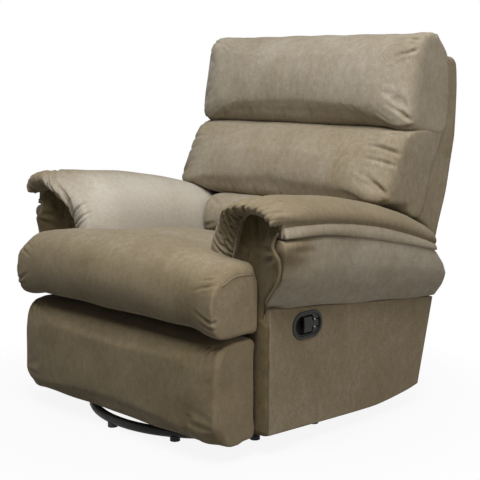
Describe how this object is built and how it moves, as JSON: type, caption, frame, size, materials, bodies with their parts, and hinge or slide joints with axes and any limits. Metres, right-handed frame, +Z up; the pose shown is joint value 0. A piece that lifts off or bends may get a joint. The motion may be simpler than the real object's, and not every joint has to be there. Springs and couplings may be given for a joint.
{
  "type": "swivel glider recliner chair",
  "caption": "Upholstered nursery chair that swivels on a ring base, glides on hanging links, reclines, and swings out a footrest released by a side paddle.",
  "frame": {"origin": "on the floor at the swivel axis", "axes": "+Z up, the sitter faces -Y, +X is the sitter's left, where the release paddle is"},
  "size_m": [0.9284, 0.9444, 1.0266],
  "materials": {
    "suede": "brushed microfibre nap",
    "black_steel": "satin black powder coat",
    "zinc_steel": "zinc plated",
    "hardwood": "raw planed",
    "webbing": "woven elastic",
    "foot_rubber": "matte",
    "handle_plastic": "fine texture",
    "cable_sleeve": "smooth"
  },
  "bodies": {
    "base": {"base_ring": "black_steel", "base_cross": "black_steel", "base_glides": "foot_rubber", "swivel_lower_plate": "black_steel", "base_plate_screws": "zinc_steel", "swivel_bearing": "zinc_steel", "king_pin": "zinc_steel"},
    "swivel": {"swivel_upper_plate": "black_steel", "stand_cross_bars": "black_steel", "glide_stand_left": "black_steel", "glide_stand_right": "black_steel", "stand_pivot_pins": "zinc_steel"},
    "front_links": {"glide_links_front": "black_steel"},
    "rear_links": {"glide_links_rear": "black_steel"},
    "chair": {"glide_rail_left": "black_steel", "glide_rail_right": "black_steel", "rail_pivot_pins": "zinc_steel", "seat_side_rails": "hardwood", "seat_front_rail": "hardwood", "seat_rear_rail": "hardwood", "frame_stretchers": "hardwood", "seat_webbing": "webbing", "rear_panel": "suede", "arm_frame_left": "hardwood", "arm_frame_right": "hardwood", "side_panel_left": "suede", "side_panel_right": "suede", "arm_facing_left": "suede", "arm_facing_right": "suede", "arm_roll_left": "suede", "arm_roll_right": "suede", "arm_pillow_left": "suede", "arm_pillow_right": "suede", "arm_inner_panels": "hardwood", "seat_cushion": "suede", "footrest_mounts": "black_steel", "footrest_root_pins": "zinc_steel", "back_hinge_plates": "black_steel", "back_hinge_pins": "zinc_steel", "handle_cup": "handle_plastic", "handle_pin": "zinc_steel", "release_cable": "cable_sleeve"},
    "root_bars": {"footrest_bars_root": "black_steel", "footrest_rivets_root": "zinc_steel"},
    "guide_bars": {"footrest_bars_guide": "black_steel", "footrest_rivets_guide": "zinc_steel", "footrest_rivets_tie": "zinc_steel"},
    "lift_bars": {"footrest_bars_lift": "black_steel", "footrest_rivets_lift": "zinc_steel"},
    "tie_bars": {"footrest_bars_tie": "black_steel"},
    "footrest": {"footrest_board": "hardwood", "footrest_brackets": "black_steel", "footrest_pad": "suede"},
    "back": {"back_frame": "hardwood", "back_brackets": "black_steel", "back_shell": "suede", "head_cushion": "suede", "lumbar_cushion": "suede", "lower_cushion": "suede"},
    "paddle": {"handle_paddle": "handle_plastic"}
  },
  "joints": [
    {"name": "swivel_turn", "type": "hinge", "parent": "base", "child": "swivel", "pos_m": [0, 0, 0.03], "axis": [0, 0, 1], "continuous": true},
    {"name": "front_link_swing", "type": "hinge", "parent": "swivel", "child": "front_links", "pos_m": [0, -0.11, 0.245], "axis": [1, 0, 0], "range_deg": [-25, 25]},
    {"name": "glide", "type": "hinge", "parent": "front_links", "child": "chair", "pos_m": [0, -0.11, 0.1], "axis": [1, 0, 0], "range_deg": [-25, 25]},
    {"name": "rear_link_swing", "type": "hinge", "parent": "swivel", "child": "rear_links", "pos_m": [0, 0.11, 0.245], "axis": [1, 0, 0], "range_deg": [-25, 25]},
    {"name": "recline", "type": "hinge", "parent": "chair", "child": "back", "pos_m": [0, 0.25, 0.24], "axis": [-1, 0, 0], "range_deg": [0, 35]},
    {"name": "root_bar_swing", "type": "hinge", "parent": "chair", "child": "root_bars", "pos_m": [0, -0.17672, 0.26367], "axis": [-1, 0, 0], "range_deg": [0, 62.01]},
    {"name": "guide_bar_swing", "type": "hinge", "parent": "root_bars", "child": "guide_bars", "pos_m": [0, -0.19585, 0.18085], "axis": [-1, 0, 0], "range_deg": [-124.01, 0]},
    {"name": "lift_bar_swing", "type": "hinge", "parent": "root_bars", "child": "lift_bars", "pos_m": [0, -0.21497, 0.09803], "axis": [-1, 0, 0], "range_deg": [-124.01, 0]},
    {"name": "tie_bar_swing", "type": "hinge", "parent": "lift_bars", "child": "tie_bars", "pos_m": [0, -0.21348, 0.18301], "axis": [-1, 0, 0], "range_deg": [0, 124.01]},
    {"name": "footrest_out", "type": "hinge", "parent": "lift_bars", "child": "footrest", "pos_m": [0, -0.212, 0.268], "axis": [-1, 0, 0], "range_deg": [0, 152]},
    {"name": "paddle_pull", "type": "hinge", "parent": "chair", "child": "paddle", "pos_m": [0.4095, -0.035, 0.305], "axis": [0, 0, 1], "range_deg": [0, 26], "stiffness_Nm_per_rad": 0.3, "springref_deg": -11.46}
  ],
  "couplings": [
    {"joint": "front_link_swing", "follows": "glide", "ratio": -1},
    {"joint": "rear_link_swing", "follows": "glide", "ratio": -1},
    {"joint": "root_bar_swing", "follows": "footrest_out", "ratio": 0.40789},
    {"joint": "guide_bar_swing", "follows": "footrest_out", "ratio": -0.81579},
    {"joint": "lift_bar_swing", "follows": "footrest_out", "ratio": -0.81579},
    {"joint": "tie_bar_swing", "follows": "footrest_out", "ratio": 0.81579}
  ]
}
